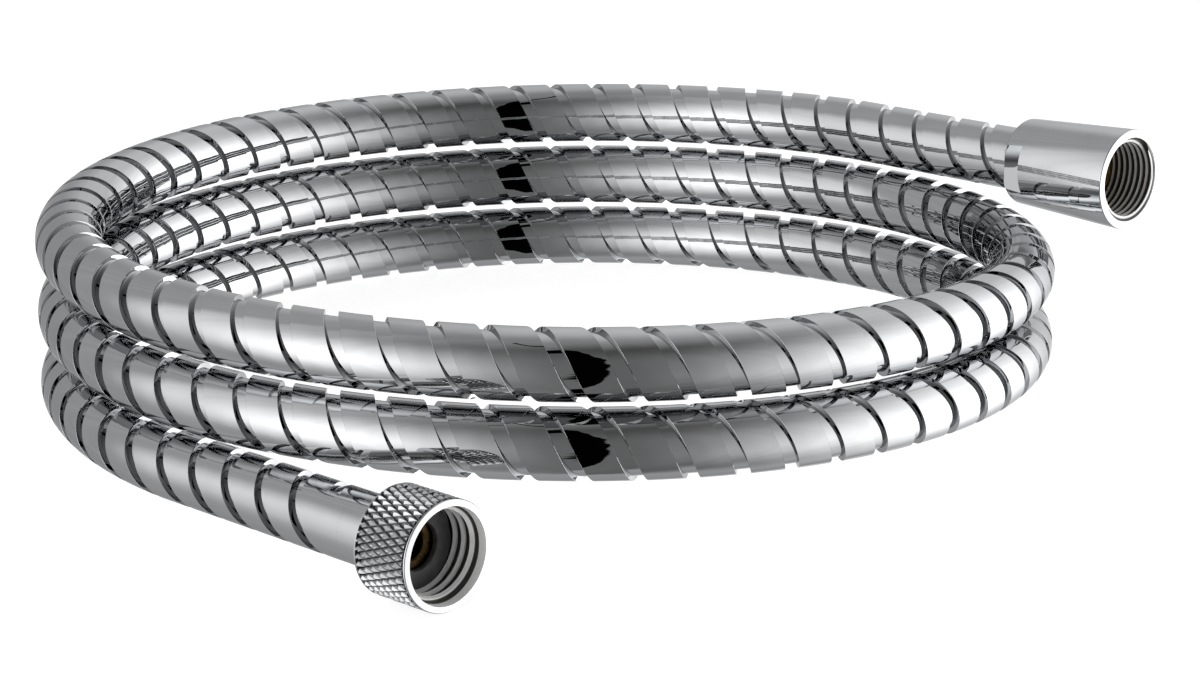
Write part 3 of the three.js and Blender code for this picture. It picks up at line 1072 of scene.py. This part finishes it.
def groove_mask(radius, depth):
    """Where the surface is the bottom of a groove of the knurl, which gets painted shade."""
    bottom = 1 - radius.between(KNURL_CREST - KNURL_DEPTH, GROOVE_TOP)
    bottom = bottom * radius.between(GROOVE_FLOOR - BORE_EDGE, GROOVE_FLOOR)
    return bottom * depth.between(*BAND_FRONT) * (1 - depth.between(*BAND_BACK))


def chrome(name, smear_scale, bore=None, knurled=False):
    """Polished chrome. A bore has an axis, a mouth, the depth of its lead-in and its crest. Thread
    roots and knurl grooves get painted shade.
    """
    material, graph = new_material(name)
    place = graph.node("ShaderNodeTexCoord", output="Object")
    smears = noise(graph, place, smear_scale, 4.0).between(*SMEAR_RANGE)
    polish = noise(graph, place, POLISH_SCALE, 2.0)
    roughness = smears * SMEAR_ROUGHNESS + polish * POLISH_ROUGHNESS + MIRROR_ROUGHNESS
    colour = mixed(graph, smears, CHROMIUM, tuple(SMEAR_SHADE * shade for shade in CHROMIUM))
    metallic = 1.0
    if bore:
        axis, mouth, lead, crest = bore
        radius = distance_from(graph, place, axis)
        depth = coil_middle.x + mouth - graph.split(place)[0]
        inside, root = bore_masks(radius, depth, lead, crest)
        colour = mixed(graph, inside, colour, BORE_SATIN)
        # painted shade: the thread roots are painted nearly black
        colour = mixed(graph, root, colour, BORE_ROOT_PAINTED_SHADE)
        roughness = roughness + inside * BORE_ROUGHNESS
        metallic = 1 - inside * BORE_DULL
    if knurled:
        # painted shade: the bottoms of the knurl's grooves are painted dark
        colour = mixed(graph, groove_mask(radius, depth), colour, GROOVE_PAINTED_SHADE)
    principled(graph, {
        "Base Color": colour,
        "Metallic": metallic,
        "Roughness": roughness,
        "Normal": bump(graph, polish, POLISH_BUMP, POLISH_DEPTH),
        "Specular Tint": EDGE_TINT,
    })
    return material


CONE_BORE = (upper_axis, CONE_MOUTH + CONE_LIP, MOUTH_BREAK, THREAD_CREST + CONE_CREST_BAND)
KNURLED_BORE = (lower_axis, KNURLED_MOUTH, COARSE_LEAD_IN, THREAD_CREST + COARSE_CREST_BAND)
strip_chrome = chrome("strip_chrome", STRIP_SMEAR_SCALE)
cone_chrome = chrome("cone_nut_chrome", NUT_SMEAR_SCALE, CONE_BORE)
grip_chrome = chrome("knurled_nut_chrome", NUT_SMEAR_SCALE, KNURLED_BORE, knurled=True)
print("chrome for the strip and both nuts")

# %% [markdown]
# ## Brass and rubber
#
# The inserts are bare turned brass: warm, a little dull from handling, with fine rings left by the
# lathe. The rings are a wave of the distance from the axis, made with the same socket arithmetic.
# The knurled nut's insert gets a much darker copy of the brass colours, as painted shade for its
# place deep behind the washer.
# The rubber is nearly black and matt, with a fine grain.

# %% Brass and rubber
LATHE_FEED = 0.22 * MM
RING_ROUGHNESS = 0.06
RING_BUMP = 0.25
RING_DEPTH = 0.02 * MM
TARNISH_SCALE = 420.0
TARNISH_RANGE = (0.35, 0.7)
TARNISH_ROUGHNESS = 0.2
BRASS_ROUGHNESS = 0.2
CONE_BRASS = ((0.78, 0.6, 0.22), (0.5, 0.36, 0.12))
# the knurled insert's brass is a darker copy: painted shade for its place deep behind the washer
KNURLED_BRASS_PAINTED_SHADE = ((0.13, 0.09, 0.03), (0.07, 0.045, 0.02))
GRAIN_SCALE = 2600.0
GRAIN_ROUGHNESS = 0.1
GRAIN_BUMP = 0.35
GRAIN_DEPTH = 0.05 * MM
BLOOM_SCALE = 240.0
BLOOM_RANGE = (0.4, 0.75)
BLOOM_ROUGHNESS = 0.15
RUBBER_ROUGHNESS = 0.5
WASHER_SHADE = 0.05
TUBE_SHADE = 0.02


def brass(name, axis, bright, dull):
    """Turned brass with lathe rings round an axis and patches of tarnish."""
    material, graph = new_material(name)
    place = graph.node("ShaderNodeTexCoord", output="Object")
    turns = distance_from(graph, place, axis) * (2 * math.pi / LATHE_FEED)
    rings = turns.math("SINE") * 0.5 + 0.5
    tarnish = noise(graph, place, TARNISH_SCALE, 5.0).between(*TARNISH_RANGE)
    principled(graph, {
        "Base Color": mixed(graph, tarnish, bright, dull),
        "Metallic": 1.0,
        "Roughness": tarnish * TARNISH_ROUGHNESS + rings * RING_ROUGHNESS + BRASS_ROUGHNESS,
        "Normal": bump(graph, rings, RING_BUMP, RING_DEPTH),
    })
    return material


def rubber(name, shade):
    """Matt rubber of one shade of grey, with a fine grain and a pale bloom."""
    material, graph = new_material(name)
    place = graph.node("ShaderNodeTexCoord", output="Object")
    grain = noise(graph, place, GRAIN_SCALE, 4.0)
    bloom = noise(graph, place, BLOOM_SCALE).between(*BLOOM_RANGE)
    dusty = (1.9 * shade, 1.9 * shade, 1.8 * shade)
    principled(graph, {
        "Base Color": mixed(graph, bloom, (shade, shade, shade), dusty),
        "Roughness": bloom * BLOOM_ROUGHNESS + grain * GRAIN_ROUGHNESS + RUBBER_ROUGHNESS,
        "Normal": bump(graph, grain, GRAIN_BUMP, GRAIN_DEPTH),
    })
    return material


FINISHES = [
    (strip, strip_chrome), (cone_sleeve, strip_chrome), (grip_sleeve, strip_chrome),
    (cone_nut, cone_chrome), (grip_nut, grip_chrome),
    (cone_insert, brass("cone_brass", upper_axis, *CONE_BRASS)),
    # the knurled insert's brass, painted darker as shade
    (grip_insert, brass("knurled_brass_painted_shade", lower_axis, *KNURLED_BRASS_PAINTED_SHADE)),
    (seal, rubber("washer_rubber", WASHER_SHADE)), (tube, rubber("tube_rubber", TUBE_SHADE)),
]
finish_of = dict(FINISHES)
for piece, node, *_ in STANDS_FOR:
    for shape in (piece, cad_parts[node]):
        shape.data.materials.clear()
        shape.data.materials.append(finish_of[piece])
print(f"{len(FINISHES)} pieces have their finish")
